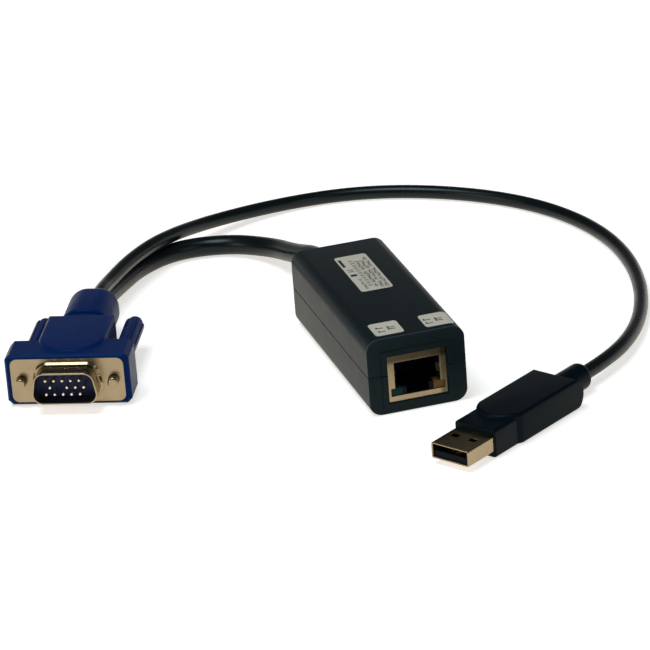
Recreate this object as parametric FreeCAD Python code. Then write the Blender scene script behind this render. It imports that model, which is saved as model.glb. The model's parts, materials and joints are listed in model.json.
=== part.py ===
import FreeCAD, Part
import math
import os

from FreeCAD import Vector

# KVM dongle: a small two-part box with a network socket in its front end, a thick video cable
# from its back to a moulded 15-pin video plug, and a thin cable from that plug's hood to a USB
# plug. Millimetres, +Z up. The origin is under the middle of the box, +Y runs from the socket
# end to the cable end, and +X is to the right when the socket is looked into.

os.makedirs("parts", exist_ok=True)

# ---------------------------------------------------------------- driving dimensions
# box
box_width = 27.2
box_length = 69.2
box_height = 21.6
wall = 1.6
long_edge_radius = 3.5
end_edge_radius = 0.5
parting_height = 11.2
parting_groove = 0.3
lip_height = 1.2
lip_thickness = 0.7
fit_gap = 0.1
# network socket
jack_width = 16.2
jack_height = 13.0
jack_depth = 16.5
jack_base_height = 3.2
jack_setback = 0.3
jack_gap = 0.25
shield_sheet = 0.3
frame_margin = 1.5
frame_rise = 0.25
socket_width = 12.0
socket_height = 7.3
socket_roof = 2.0
socket_depth = 12.5
latch_width = 6.3
latch_drop = 2.1
led_width = 3.0
led_height = 2.1
led_length = 3.0
led_overhang = 1.35
led_edge = 0.25
spring_length = 3.0
spring_height = 2.6
spring_reach = 0.35
spring_sheet = 0.25
spring_room = 0.3
contact_count = 8
contact_pitch = 1.02
contact_thickness = 0.35
contact_from_front = 2.6
contact_behind = 1.5
contact_rise = 0.6
contact_fall = 2.0
# circuit board and what stands on it
board_thickness = 1.2
board_side_gap = 0.9
board_rear_setback = 15.0
board_rib_width = 1.2
board_edge_gap = 0.8
transformer_size = (12.7, 9.5, 6.0)
main_chip_size = (10.0, 10.0, 1.4)
video_chip_size = (6.4, 5.0, 1.2)
crystal_size = (3.6, 8.6, 3.2)
crystal_round = 1.4
capacitor_radius = 1.6
capacitor_height = 5.4
capacitor_gap = 0.4
capacitor_edge = 0.3
resistor_size = (1.6, 0.8, 0.5)
resistor_pitch = 2.8
resistor_count = 3
chip_gap = 0.4
row_gap = 0.8
header_size = (14.0, 5.0, 5.6)
header_wall = 0.8
header_floor = 1.2
wire_radius = 0.55
wire_count = 5
wire_pitch_at_gland = 1.25
wire_pitch_at_header = 2.2
wire_straight = 3.0
# screws that hold the shells together
screw_head_radius = 1.9
screw_head_height = 1.3
screw_radius = 1.0
screw_length = 9.0
screw_sink = 1.5
screw_slot_width = 0.6
screw_slot_length = 2.2
screw_slot_depth = 0.7
boss_radius = 2.9
boss_spacing = 15.6
boss_from_rear = 7.0
boss_joint_height = 8.0
# gland at the back
gland_drop = 0.4
gland_radius = 3.1
gland_flange_radius = 4.6
gland_flange_thickness = 2.0
gland_boot_radius = 3.1
gland_tip_radius = 2.98
gland_tip_round = 0.1
gland_length = 7.2
# labels
label_thickness = 0.12
label_corner = 1.0
main_label_size = (9.0, 26.0)
main_label_from_middle = 0.3
main_label_from_rear = 23.3
small_label_size = (7.9, 8.2)
left_label_from_side = 7.7
left_label_from_front = 6.6
right_label_from_side = 5.65
right_label_from_front = 6.5
# video plug, in its own frame: y = 0 at the flange's face, y towards the cable
vga_place = (-84.77, 8.03)
vga_turn = -23.5
vga_flange_width = 30.8
vga_flange_height = 12.5
vga_flange_thickness = 0.9
vga_flange_corner = 1.9
vga_flange_proud = 0.2
vga_shell_width = 17.7
vga_shell_height = 9.1
vga_shell_length = 5.9
vga_shell_wall = 0.4
vga_rim_round = 0.18
vga_shell_slope = 10.0
vga_shell_corner = 2.9
vga_root_radius = 0.8
vga_root_cut = 0.5
dimple_radius = 1.7
dimple_depth = 0.3
dimple_count = 3
dimple_pitch = 3.8
pin_radius = 0.39
pin_pitch = 2.29
pin_row_pitch = 1.98
pin_length = 5.2
pin_tip_cut = 0.16
pin_column_count = 5
pin_row_shift = 0.25
insulator_face = 1.0
insulator_gap = 0.02
hood_front_width = 33.8
hood_front_height = 14.5
hood_front_depth = 10.3
hood_corner_cut = 1.3
hood_edge_cut = 0.6
hood_body_width = 18.4
hood_body_height = 15.6
hood_body_front = 2.0
hood_body_rear = 26.3
hood_body_edge = 1.1
hood_neck_width = 14.1
hood_neck_height = 12.4
hood_neck_corner = 5.6
hood_neck_rear = 51.9
hood_neck_round = 4.7
hood_neck_shift = -0.7
hood_waist_inset = 0.9
hood_waist_rear = 33.0
cable_bore_gap = 0.05
# thumbscrews of the video plug
thumb_spacing = 25.0
thumb_radius = 1.42
thumb_shank_radius = 1.15
thumb_reach = 2.6
thumb_shoulder = 0.15
thumb_tip_round = 0.6
thumb_hole_radius = 1.55
thumb_bore_gap = 0.12
thumb_rear_cover = 2.0
knob_radius = 2.75
knob_groove_radius = 0.55
knob_groove_count = 8
knob_length = 27.2
knob_end_length = 1.9
knob_end_radius = 2.1
knob_gap = 0.3
knob_end_round = 0.35
knob_groove_start = 2.4
knob_groove_lift = 0.15
# USB plug, in its own frame: y = 0 at the shell's mouth, y towards the cable
usb_place = (-4.5, -73.2)
usb_turn = -56.3
usb_shell_width = 12.0
usb_shell_height = 4.5
usb_shell_sheet = 0.3
usb_shell_corner = 0.6
usb_shell_seat = 2.4
usb_mouth_cut = 0.12
usb_hole_width = 2.2
usb_hole_length = 2.0
usb_hole_from_mouth = 5.4
usb_hole_spacing = 5.6
usb_tongue_width = 11.3
usb_tongue_height = 1.85
usb_tongue_setback = 0.5
usb_stop_length = 1.0
usb_contact_count = 4
usb_contact_width = 1.1
usb_contact_length = 7.4
usb_contact_pitch = 2.25
usb_contact_thickness = 0.2
usb_contact_setback = 0.9
nose_width = 13.0
nose_height = 7.8
nose_front = 10.7
nose_edge = 0.9
nose_front_edge = 0.5
mould_width = 14.7
mould_rise = 4.8
mould_drop = 3.9
mould_front = 16.4
mould_shoulder = 22.0
mould_rear = 45.2
mould_rear_bulge = 2.8
mould_edge = 1.1
usb_neck_radius = 3.7
usb_neck_rear = 57.5
usb_neck_round = 1.6
# cables
video_cable_diameter = 5.7
usb_cable_diameter = 4.0
arc_share = 0.45
overlap = 1.0

# ---------------------------------------------------------------- heights that follow
vga_height = hood_body_height / 2
usb_height = mould_drop
gland_height = parting_height - gland_drop
front_y = -box_length / 2
rear_y = box_length / 2
jack_front_y = front_y + jack_setback
jack_rear_y = jack_front_y + jack_depth
jack_top_height = jack_base_height + jack_height
board_bottom = jack_base_height - board_thickness
board_top = jack_base_height
socket_top = jack_top_height - socket_roof
socket_floor = socket_top - socket_height
board_front_y = front_y + wall + board_side_gap
board_rear_y = rear_y - board_rear_setback
board_width = box_width - 2 * (wall + board_side_gap)
header_y = board_rear_y - header_size[1] - board_edge_gap

# ---------------------------------------------------------------- cable routes
# Chosen by hand. Each list runs from the video plug's neck.
video_route = [
    (-67.3, 52.2, 5.3),
    (-64.2, 60.1, 5.1),
    (-53.6, 76.8, 3.3),
    (-44.0, 88.8, 2.9),
    (-31.2, 95.8, 2.9),
    (-16.2, 93.6, 2.9),
    (-6.2, 82.0, 4.2),
    (-3.2, 66.6, 7.2),
    (0.0, 54.2, 10.8),
    (0.0, 41.9, 10.8),
]
usb_route = [
    (-65.8, 51.6, 10.2),
    (-63.2, 57.6, 10.3),
    (-58.6, 66.0, 9.3),
    (-48.6, 80.0, 9.1),
    (-35.8, 93.0, 8.5),
    (-15.8, 110.4, 4.1),
    (9.8, 118.7, 2.1),
    (31.3, 116.6, 2.1),
    (50.9, 107.4, 2.1),
    (68.2, 92.3, 2.1),
    (79.6, 73.8, 2.1),
    (85.1, 51.6, 2.1),
    (84.3, 28.6, 2.1),
    (78.3, 4.9, 2.2),
    (68.3, -16.5, 2.8),
    (54.7, -33.8, 3.9),
    (43.4, -41.3, 3.9),
]


# ---------------------------------------------------------------- helpers
def block(width, length, height, x=0.0, y=0.0, z=0.0):
    """A box centred on x, with its front at y and its bottom at z."""
    return Part.makeBox(width, length, height, Vector(x - width / 2, y, z))


def rod(radius, length, start, direction):
    return Part.makeCylinder(radius, length, Vector(*start), Vector(*direction))


def edges_along(shape, axis):
    """The straight edges that run along one axis."""
    found = []
    for edge in shape.Edges:
        if edge.Curve.TypeId != "Part::GeomLine":
            continue
        first, last = edge.Vertexes[0].Point, edge.Vertexes[-1].Point
        run = last.sub(first)
        if run.Length > 1e-6 and abs(abs(run.normalize().dot(axis)) - 1) < 1e-6:
            found.append(edge)
    return found


def rounded_block(width, length, height, radius, x=0.0, y=0.0, z=0.0, axis=Vector(0, 1, 0)):
    """A box with its edges along one axis rounded."""
    solid = block(width, length, height, x, y, z)
    return solid.makeFillet(radius, edges_along(solid, axis))


def prism(points, direction):
    """A flat outline pushed along a direction."""
    closed = [Vector(*p) for p in points]
    closed.append(closed[0])
    return Part.Face(Part.makePolygon(closed)).extrude(Vector(*direction))


def plane_edges(solid, normal, level, tolerance=1e-4):
    """The edges that lie in one plane, given by its normal and its distance from the origin."""
    found = []
    for edge in solid.Edges:
        if all(abs(v.Point.dot(normal) - level) < tolerance for v in edge.Vertexes):
            middle = edge.valueAt((edge.FirstParameter + edge.LastParameter) / 2)
            if abs(middle.dot(normal) - level) < tolerance:
                found.append(edge)
    return found


def turned(solid, place, turn, height):
    """A plug's piece, moved from the plug's own frame to where the plug lies."""
    moved = solid.copy()
    rotation = FreeCAD.Rotation(Vector(0, 0, 1), turn)
    moved.Placement = FreeCAD.Placement(Vector(place[0], place[1], height), rotation)
    return moved


def vga_placed(solid):
    return turned(solid, vga_place, vga_turn, vga_height)


def usb_placed(solid):
    return turned(solid, usb_place, usb_turn, usb_height)


def group(solids):
    return Part.makeCompound(solids)


# ---------------------------------------------------------------- box shells
def outer_box(grow=0.0):
    """The box's outside, or the same form with every face moved out by grow."""
    solid = rounded_block(
        box_width + 2 * grow,
        box_length + 2 * grow,
        box_height + 2 * grow,
        long_edge_radius + grow,
        y=front_y - grow,
        z=-grow,
    )
    ends = plane_edges(solid, Vector(0, 1, 0), front_y - grow)
    ends += plane_edges(solid, Vector(0, 1, 0), rear_y + grow)
    return solid.makeFillet(end_edge_radius, ends)


def cavity():
    return rounded_block(
        box_width - 2 * wall,
        box_length - 2 * wall,
        box_height - 2 * wall,
        long_edge_radius - wall,
        y=front_y + wall,
        z=wall,
    )


def lip(gap=0.0):
    """The ring that rises from the lower shell into the upper one, widened by a gap for the rebate."""
    inside_width = box_width - 2 * wall
    inside_length = box_length - 2 * wall
    thick = lip_thickness + gap
    ring = block(
        inside_width + 2 * thick,
        inside_length + 2 * thick,
        lip_height + gap,
        y=front_y + wall - thick,
        z=parting_height,
    )
    hole = block(
        inside_width,
        inside_length,
        lip_height + gap + overlap,
        y=front_y + wall,
        z=parting_height - overlap / 2,
    )
    return ring.cut(hole)


def jack_window():
    return block(
        jack_width + 2 * jack_gap,
        jack_setback + wall + 2 * overlap,
        jack_height + 2 * jack_gap,
        y=front_y - overlap,
        z=jack_base_height - jack_gap,
    )


def jack_frame():
    """The low raised border round the socket's window."""
    width = jack_width + 2 * (jack_gap + frame_margin)
    height = jack_height + 2 * (jack_gap + frame_margin)
    low = jack_base_height - jack_gap - frame_margin
    return block(width, frame_rise + end_edge_radius, height, y=front_y - frame_rise, z=low)


def gland_hole():
    return rod(
        gland_radius + fit_gap,
        wall + 2 * overlap,
        (0, rear_y - wall - overlap, gland_height),
        (0, 1, 0),
    )


def boss_places():
    y = rear_y - wall - boss_from_rear
    return [(-boss_spacing / 2, y), (boss_spacing / 2, y)]


def groove():
    """The fine joint line cut round the outside between the shells."""
    half = parting_groove / 2
    ring = block(
        box_width + 2 * overlap,
        box_length + 2 * overlap,
        parting_groove,
        y=front_y - overlap,
        z=parting_height - half,
    )
    core = block(
        box_width - 2 * parting_groove,
        box_length - 2 * parting_groove,
        parting_groove + overlap,
        y=front_y + parting_groove,
        z=parting_height - half - overlap / 2,
    )
    return ring.cut(core)


def lower_half():
    return block(
        box_width + 4 * overlap,
        box_length + 4 * overlap,
        parting_height + overlap,
        y=front_y - 2 * overlap,
        z=-overlap,
    )


def make_shells():
    hollow = outer_box().fuse(jack_frame()).cut(cavity())
    hollow = hollow.cut(jack_window()).cut(gland_hole()).cut(groove())
    lower = hollow.common(lower_half())
    upper = hollow.cut(lower_half())
    lip_cut = jack_window().fuse(gland_hole())
    lower = lower.fuse(lip().cut(lip_cut))
    upper = upper.cut(lip(fit_gap))
    for x, y in boss_places():
        post = rod(boss_radius, boss_joint_height - wall + overlap, (x, y, wall - overlap), (0, 0, 1))
        cap = rod(
            boss_radius,
            box_height - wall + overlap - boss_joint_height,
            (x, y, boss_joint_height),
            (0, 0, 1),
        )
        lower = lower.fuse(post)
        upper = upper.fuse(cap.common(outer_box()))
        lower = lower.cut(rod(screw_head_radius + fit_gap, screw_sink + screw_head_height, (x, y, 0), (0, 0, 1)))
        lower = lower.cut(rod(screw_radius + fit_gap, boss_joint_height, (x, y, 0), (0, 0, 1)))
        depth = screw_sink + screw_head_height + screw_length - boss_joint_height
        upper = upper.cut(rod(screw_radius, depth, (x, y, boss_joint_height), (0, 0, 1)))
    for x in (-box_width / 4, box_width / 4):
        rib_height = board_bottom - wall + overlap
        rib = block(board_rib_width, board_rear_y - board_front_y, rib_height, x, board_front_y, wall - overlap)
        lower = lower.fuse(rib)
    return lower.removeSplitter(), upper.removeSplitter()


def make_case_screws():
    screws = []
    for x, y in boss_places():
        head = rod(screw_head_radius, screw_head_height, (x, y, screw_sink), (0, 0, 1))
        shank = rod(screw_radius, screw_length, (x, y, screw_sink + screw_head_height), (0, 0, 1))
        width, length, depth = screw_slot_width, screw_slot_length, screw_slot_depth
        along = block(width, length, depth, x, y - length / 2, screw_sink)
        across = block(length, width, depth, x, y - width / 2, screw_sink)
        screws.append(head.fuse(shank).cut(along.fuse(across)))
    return group(screws)


# ---------------------------------------------------------------- network socket
def socket_space():
    """The room in the housing: the plug's body, and the latch's slot below it."""
    body = block(socket_width, socket_depth + overlap, socket_height, y=jack_front_y - overlap, z=socket_floor)
    slot = block(
        latch_width,
        socket_depth + overlap,
        latch_drop + overlap,
        y=jack_front_y - overlap,
        z=socket_floor - latch_drop,
    )
    return body.fuse(slot)


def led_place(side):
    return side * (socket_width / 2 + led_overhang - led_width / 2)


def make_led(side):
    """A window whose front stands in the shield's opening, just behind the shield's face."""
    front_y = jack_front_y + fit_gap
    window = block(led_width, led_length, led_height, led_place(side), front_y, socket_floor - led_height)
    return window.makeFillet(led_edge, plane_edges(window, Vector(0, 1, 0), front_y))


def side_spring(side):
    """A tongue bent inwards from the shield's edge, to press on the plug's side."""
    edge = socket_width / 2 + spring_room
    crest = socket_width / 2 - spring_reach
    middle_y = jack_front_y + spring_length / 2
    rear_y = jack_front_y + spring_length
    outline = [
        (side * edge, jack_front_y, 0),
        (side * crest, middle_y, 0),
        (side * (crest + spring_sheet), rear_y, 0),
        (side * (crest + 2 * spring_sheet), rear_y, 0),
        (side * (crest + spring_sheet), middle_y, 0),
        (side * (edge + shield_sheet), jack_front_y + shield_sheet, 0),
        (side * (edge + shield_sheet), jack_front_y, 0),
    ]
    spring = prism(outline, (0, 0, spring_height))
    spring.translate(Vector(0, 0, socket_floor + socket_height / 2 - spring_height / 2))
    return spring


def make_shield():
    outside = block(jack_width, jack_depth, jack_height, y=jack_front_y, z=jack_base_height)
    inside = block(
        jack_width - 2 * shield_sheet,
        jack_depth,
        jack_height - 2 * shield_sheet,
        y=jack_front_y + shield_sheet,
        z=jack_base_height + shield_sheet,
    )
    through = shield_sheet + 2 * overlap
    wide = block(
        2 * led_place(1) + led_width + 2 * fit_gap,
        through,
        led_height + fit_gap,
        y=jack_front_y - overlap,
        z=socket_floor - led_height - fit_gap,
    )
    main = block(socket_width + 2 * spring_room, through, socket_height, y=jack_front_y - overlap, z=socket_floor)
    shield = outside.cut(inside).cut(wide).cut(main)
    rear_notch = block(
        jack_width - 4 * shield_sheet,
        jack_depth,
        shield_sheet + 2 * overlap,
        y=jack_front_y + jack_depth / 2,
        z=jack_base_height - overlap,
    )
    shield = shield.cut(rear_notch)
    for side in (-1, 1):
        shield = shield.fuse(side_spring(side))
    return shield.removeSplitter()


def contact_wires():
    """Eight spring wires that hang from the socket's roof and slope down towards its back."""
    wires = []
    half = contact_thickness / 2
    front = jack_front_y + contact_from_front
    rear = jack_front_y + socket_depth + contact_behind
    high = socket_top + contact_rise
    low = socket_top - contact_fall
    for i in range(contact_count):
        x = (i - (contact_count - 1) / 2) * contact_pitch
        outline = [
            (x - half, front, high),
            (x - half, rear, low),
            (x - half, rear, low + contact_thickness),
            (x - half, front, high + contact_thickness),
        ]
        wires.append(prism(outline, (2 * half, 0, 0)))
    return wires


def make_housing(leds):
    inset = shield_sheet
    body = block(
        jack_width - 2 * inset,
        jack_depth - inset,
        jack_height - 2 * inset,
        y=jack_front_y + inset,
        z=jack_base_height + inset,
    )
    body = body.cut(socket_space())
    for side in (-1, 1):
        relief = block(
            4 * spring_room,
            spring_length + 2 * spring_room,
            spring_height + 2 * spring_room,
            side * (socket_width / 2 + spring_room),
            jack_front_y,
            socket_floor + socket_height / 2 - spring_height / 2 - spring_room,
        )
        body = body.cut(relief)
    for led in leds:
        body = body.cut(led)
    for wire in contact_wires():
        body = body.cut(wire)
    return body


# ---------------------------------------------------------------- board
def make_board():
    length = board_rear_y - board_front_y
    return block(board_width, length, board_thickness, y=board_front_y, z=board_bottom)


def on_board(size, x, y):
    return block(size[0], size[1], size[2], x, y, board_top)


def make_chips():
    """The parts that stand on the board, from the socket towards the back, in two columns."""
    left = board_edge_gap - board_width / 2
    right = board_width / 2 - board_edge_gap
    row_y = jack_rear_y + row_gap
    pieces = {}
    pieces["line_transformer"] = on_board(transformer_size, left + transformer_size[0] / 2, row_y)
    crystal = on_board(crystal_size, right - crystal_size[0] / 2, row_y)
    pieces["crystal"] = crystal.makeFillet(crystal_round, edges_along(crystal, Vector(0, 0, 1)))
    resistor_y = row_y + max(transformer_size[1], crystal_size[1]) + chip_gap
    places = [left + resistor_size[0] / 2 + i * resistor_pitch for i in range(resistor_count)]
    pieces["resistors"] = group([on_board(resistor_size, x, resistor_y) for x in places])
    chip_y = resistor_y + resistor_size[1] + chip_gap
    pieces["main_chip"] = on_board(main_chip_size, left + main_chip_size[0] / 2, chip_y)
    pieces["video_chip"] = on_board(video_chip_size, right - video_chip_size[0] / 2, chip_y)
    can_y = chip_y + video_chip_size[1] + capacitor_gap + capacitor_radius
    top = board_top + capacitor_height
    cans = []
    for i in range(2):
        x = right - capacitor_radius - i * (2 * capacitor_radius + capacitor_gap)
        can = rod(capacitor_radius, capacitor_height, (x, can_y, board_top), (0, 0, 1))
        cans.append(can.makeFillet(capacitor_edge, plane_edges(can, Vector(0, 0, 1), top)))
    pieces["capacitors"] = group(cans)
    header = on_board(header_size, 0.0, header_y)
    trough = block(
        header_size[0] - 2 * header_wall,
        header_size[1],
        header_size[2] - header_wall - header_floor,
        0.0,
        header_y + header_wall,
        board_top + header_floor,
    )
    pieces["board_header"] = header.cut(trough)
    return pieces


def make_gland():
    """Strain relief moulded on the cable: a flange inside the wall, a neck and a short tapered boot."""
    inner = rear_y - wall - fit_gap - gland_flange_thickness
    axis = (0, 1, 0)
    flange = rod(gland_flange_radius, gland_flange_thickness, (0, inner, gland_height), axis)
    neck = rod(gland_radius, wall + 2 * fit_gap, (0, inner + gland_flange_thickness, gland_height), axis)
    foot = Vector(0, rear_y + fit_gap, gland_height)
    boot = Part.makeCone(gland_boot_radius, gland_tip_radius, gland_length, foot, Vector(0, 1, 0))
    solid = flange.fuse(neck).fuse(boot)
    tip = rear_y + fit_gap + gland_length
    return solid.makeFillet(gland_tip_round, plane_edges(solid, Vector(0, 1, 0), tip))


def make_cable_wires():
    """The cable's cores, fanned out between the gland and the header."""
    cores = []
    front = header_y + header_wall
    rear = rear_y - wall - fit_gap - gland_flange_thickness
    low = board_top + header_floor + wire_radius
    for i in range(wire_count):
        place = i - (wire_count - 1) / 2
        at_gland = place * wire_pitch_at_gland
        at_header = place * wire_pitch_at_header
        route = [
            (at_gland, rear, gland_height),
            (at_gland, rear - wire_straight, gland_height),
            (at_header, front + header_size[1], low),
            (at_header, front, low),
        ]
        cores.append(tube(route, 2 * wire_radius))
    return group(cores)


# ---------------------------------------------------------------- labels
def make_label(size, x, y):
    """A thin sheet about x and y that follows the box's top and its rounded long edge."""
    skin = outer_box(label_thickness).cut(outer_box())
    cutter = rounded_block(
        size[0],
        size[1],
        box_height,
        label_corner,
        x,
        y - size[1] / 2,
        box_height / 2 + long_edge_radius,
        axis=Vector(0, 0, 1),
    )
    return skin.common(cutter)


# ---------------------------------------------------------------- video plug
def d_outline(width, height, corner):
    """A D-shaped face in the plane y = 0, as wide as given at its round lower corners."""
    half_angle = math.radians(90 - vga_shell_slope) / 2
    low = width / 2 + corner * (1 / math.tan(half_angle) - 1)
    top = low - height * math.tan(math.radians(vga_shell_slope))
    solid = prism(
        [(-low, 0, -height / 2), (low, 0, -height / 2), (top, 0, height / 2), (-top, 0, height / 2)],
        (0, 1, 0),
    )
    rounded = solid.makeFillet(corner, edges_along(solid, Vector(0, 1, 0)))
    for face in rounded.Faces:
        if abs(face.CenterOfMass.y) < 1e-6:
            return face
    raise ValueError("the outline has no front face")


def d_prism(inset, start, length):
    face = d_outline(vga_shell_width - 2 * inset, vga_shell_height - 2 * inset, vga_shell_corner - inset)
    solid = face.extrude(Vector(0, length, 0))
    solid.translate(Vector(0, start, 0))
    return solid


def make_vga_shell():
    back = vga_flange_thickness
    flange = rounded_block(
        vga_flange_width,
        vga_flange_thickness,
        vga_flange_height,
        vga_flange_corner,
        z=-vga_flange_height / 2,
    )
    skirt = d_prism(0.0, -vga_shell_length, vga_shell_length + back)
    rim = plane_edges(skirt, Vector(0, 1, 0), -vga_shell_length)
    skirt = skirt.makeFillet(vga_rim_round, rim)
    root = d_prism(-vga_root_radius, -vga_root_radius, vga_root_radius + back / 2)
    root = root.makeChamfer(vga_root_cut, plane_edges(root, Vector(0, 1, 0), -vga_root_radius))
    shell = flange.fuse(root).fuse(skirt)
    shell = shell.cut(d_prism(vga_shell_wall, -vga_shell_length - overlap, vga_shell_length + back + 2 * overlap))
    for x in (-thumb_spacing / 2, thumb_spacing / 2):
        shell = shell.cut(thumb_bore(thumb_hole_radius, -overlap, back + 2 * overlap, x))
    for side in (-1, 1):
        for i in range(dimple_count):
            x = (i - (dimple_count - 1) / 2) * dimple_pitch
            lift = vga_shell_height / 2 + dimple_radius - dimple_depth
            centre = Vector(x, -vga_shell_length / 2, side * lift)
            shell = shell.cut(Part.makeSphere(dimple_radius, centre))
    return shell.removeSplitter()


def make_vga_insulator():
    body = d_prism(vga_shell_wall + insulator_gap, -insulator_face, vga_flange_thickness + insulator_face)
    for x, z in pin_places():
        body = body.cut(rod(pin_radius, vga_shell_length, (x, -2 * insulator_face, z), (0, 1, 0)))
    return body


def pin_places():
    """Three rows of five, the middle row half a pitch over, with one pin left out."""
    places = []
    for row in (1, 0, -1):
        shift = -pin_row_shift if row else pin_row_shift
        for i in range(pin_column_count):
            if row == 0 and i == 1:
                continue
            column = i - (pin_column_count - 1) / 2 + shift
            places.append((column * pin_pitch, row * pin_row_pitch))
    return places


def make_vga_pins():
    pins = []
    for x, z in pin_places():
        pin = rod(pin_radius, pin_length + vga_flange_thickness, (x, -pin_length, z), (0, 1, 0))
        tip = plane_edges(pin, Vector(0, 1, 0), -pin_length)
        pins.append(pin.makeChamfer(pin_tip_cut, tip))
    return group(pins)


def thumb_bore(radius, start, length, x):
    return rod(radius, length, (x, start, 0), (0, 1, 0))


def cable_bore(route, diameter):
    """The round hole in the hood's rear end that a cable's first run lies in."""
    first, second = Vector(*route[0]), Vector(*route[1])
    return rod(diameter / 2 + cable_bore_gap, second.sub(first).Length, route[0], second.sub(first))


def make_hood():
    """The moulded hood where it lies, with the bores for the thumbscrews and the cables."""
    w, h, cut = hood_front_width / 2, hood_front_height / 2, hood_corner_cut
    front = vga_flange_proud
    outline = [
        (-w + cut, front, -h),
        (w - cut, front, -h),
        (w, front, -h + cut),
        (w, front, h - cut),
        (w - cut, front, h),
        (-w + cut, front, h),
        (-w, front, h - cut),
        (-w, front, -h + cut),
    ]
    head = prism(outline, (0, hood_front_depth - front, 0))
    head = head.makeChamfer(hood_edge_cut, plane_edges(head, Vector(0, 1, 0), front))
    half = hood_body_width / 2
    body_round = Part.makeCylinder(half, hood_body_height, Vector(0, hood_body_front + half, -hood_body_height / 2))
    body_long = block(
        hood_body_width,
        hood_body_rear - hood_body_front - half,
        hood_body_height,
        0,
        hood_body_front + half,
        -hood_body_height / 2,
    )
    body = body_round.fuse(body_long).removeSplitter()
    brims = plane_edges(body, Vector(0, 0, 1), hood_body_height / 2)
    brims += plane_edges(body, Vector(0, 0, 1), -hood_body_height / 2)
    body = body.makeFillet(hood_body_edge, brims)
    neck = rounded_block(
        hood_neck_width,
        hood_neck_rear - hood_waist_rear,
        hood_neck_height,
        hood_neck_corner,
        hood_neck_shift,
        hood_waist_rear,
        -hood_neck_height / 2,
    )
    neck = neck.makeFillet(hood_neck_round, plane_edges(neck, Vector(0, 1, 0), hood_neck_rear))
    neck = neck.makeFillet(hood_waist_inset, plane_edges(neck, Vector(0, 1, 0), hood_waist_rear))
    inset = hood_waist_inset
    waist = rounded_block(
        hood_neck_width - 2 * inset,
        hood_waist_rear - hood_body_rear + 2 * overlap,
        hood_neck_height - 2 * inset,
        hood_neck_corner - inset,
        hood_neck_shift,
        hood_body_rear - overlap,
        -hood_neck_height / 2 + inset,
    )
    hood = head.fuse(body).fuse(waist).fuse(neck)
    seat = rounded_block(
        vga_flange_width,
        vga_flange_thickness,
        vga_flange_height,
        vga_flange_corner,
        z=-vga_flange_height / 2,
    )
    hood = hood.cut(seat)
    for x in (-thumb_spacing / 2, thumb_spacing / 2):
        hood = hood.cut(thumb_bore(thumb_shank_radius + thumb_bore_gap, -overlap, hood_front_depth + 2 * overlap, x))
    hood = vga_placed(hood.removeSplitter())
    for route, diameter in ((video_route, video_cable_diameter), (usb_route, usb_cable_diameter)):
        hood = hood.cut(cable_bore(route, diameter))
    return hood


def make_thumb_screw(x):
    """A threaded end with a round tip, and a thinner shank that runs in the hood and the knob."""
    thread = thumb_bore(thumb_radius, -thumb_reach, thumb_reach - thumb_shoulder, x)
    thread = thread.makeFillet(thumb_tip_round, plane_edges(thread, Vector(0, 1, 0), -thumb_reach))
    rear = hood_front_depth + knob_gap + knob_length - thumb_rear_cover
    shank = thumb_bore(thumb_shank_radius, -thumb_shoulder - overlap, thumb_shoulder + overlap + rear, x)
    return thread.fuse(shank)


def make_knob(x):
    start = hood_front_depth + knob_gap
    grip_end = start + knob_length - knob_end_length
    knob = thumb_bore(knob_radius, start, knob_length - knob_end_length, x)
    knob = knob.makeFillet(knob_end_round, plane_edges(knob, Vector(0, 1, 0), grip_end))
    for i in range(knob_groove_count):
        angle = 2 * math.pi * (i + 0.5) / knob_groove_count
        reach = knob_radius + knob_groove_lift
        place = (x + reach * math.cos(angle), start + knob_groove_start, reach * math.sin(angle))
        knob = knob.cut(rod(knob_groove_radius, knob_length, place, (0, 1, 0)))
    end = thumb_bore(knob_end_radius, grip_end - overlap, knob_end_length + overlap, x)
    end = end.makeFillet(knob_end_round, plane_edges(end, Vector(0, 1, 0), start + knob_length))
    knob = knob.fuse(end)
    return knob.cut(make_thumb_screw(x))


# ---------------------------------------------------------------- USB plug
def make_usb_shell():
    length = nose_front + usb_shell_seat
    sheet = usb_shell_sheet
    outside = rounded_block(usb_shell_width, length, usb_shell_height, usb_shell_corner, z=-usb_shell_height / 2)
    outside = outside.makeChamfer(usb_mouth_cut, plane_edges(outside, Vector(0, 1, 0), 0.0))
    inside = rounded_block(
        usb_shell_width - 2 * sheet,
        length + 2 * overlap,
        usb_shell_height - 2 * sheet,
        usb_shell_corner - sheet,
        y=-overlap,
        z=-usb_shell_height / 2 + sheet,
    )
    shell = outside.cut(inside)
    for x in (-usb_hole_spacing / 2, usb_hole_spacing / 2):
        window = block(
            usb_hole_width,
            usb_hole_length,
            2 * usb_shell_height,
            x,
            usb_hole_from_mouth,
            -usb_shell_height,
        )
        shell = shell.cut(window)
    return shell


def make_usb_tongue():
    """The tongue along the shell's floor and the block behind it, with edges as round as the shell's inside."""
    low = -usb_shell_height / 2 + usb_shell_sheet
    edge = usb_shell_corner - usb_shell_sheet
    length = nose_front + usb_shell_seat - usb_tongue_setback
    tongue = rounded_block(usb_tongue_width, length, usb_tongue_height, edge, y=usb_tongue_setback, z=low)
    stop = rounded_block(
        usb_tongue_width,
        usb_shell_seat + usb_stop_length,
        usb_shell_height - 2 * usb_shell_sheet,
        edge,
        y=nose_front - usb_stop_length,
        z=low,
    )
    return tongue.fuse(stop).cut(group(usb_contact_strips()))


def usb_contact_strips():
    low = -usb_shell_height / 2 + usb_shell_sheet + usb_tongue_height - usb_contact_thickness
    strips = []
    for i in range(usb_contact_count):
        x = (i - (usb_contact_count - 1) / 2) * usb_contact_pitch
        y = usb_tongue_setback + usb_contact_setback
        strips.append(block(usb_contact_width, usb_contact_length, usb_contact_thickness, x, y, low))
    return strips


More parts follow.
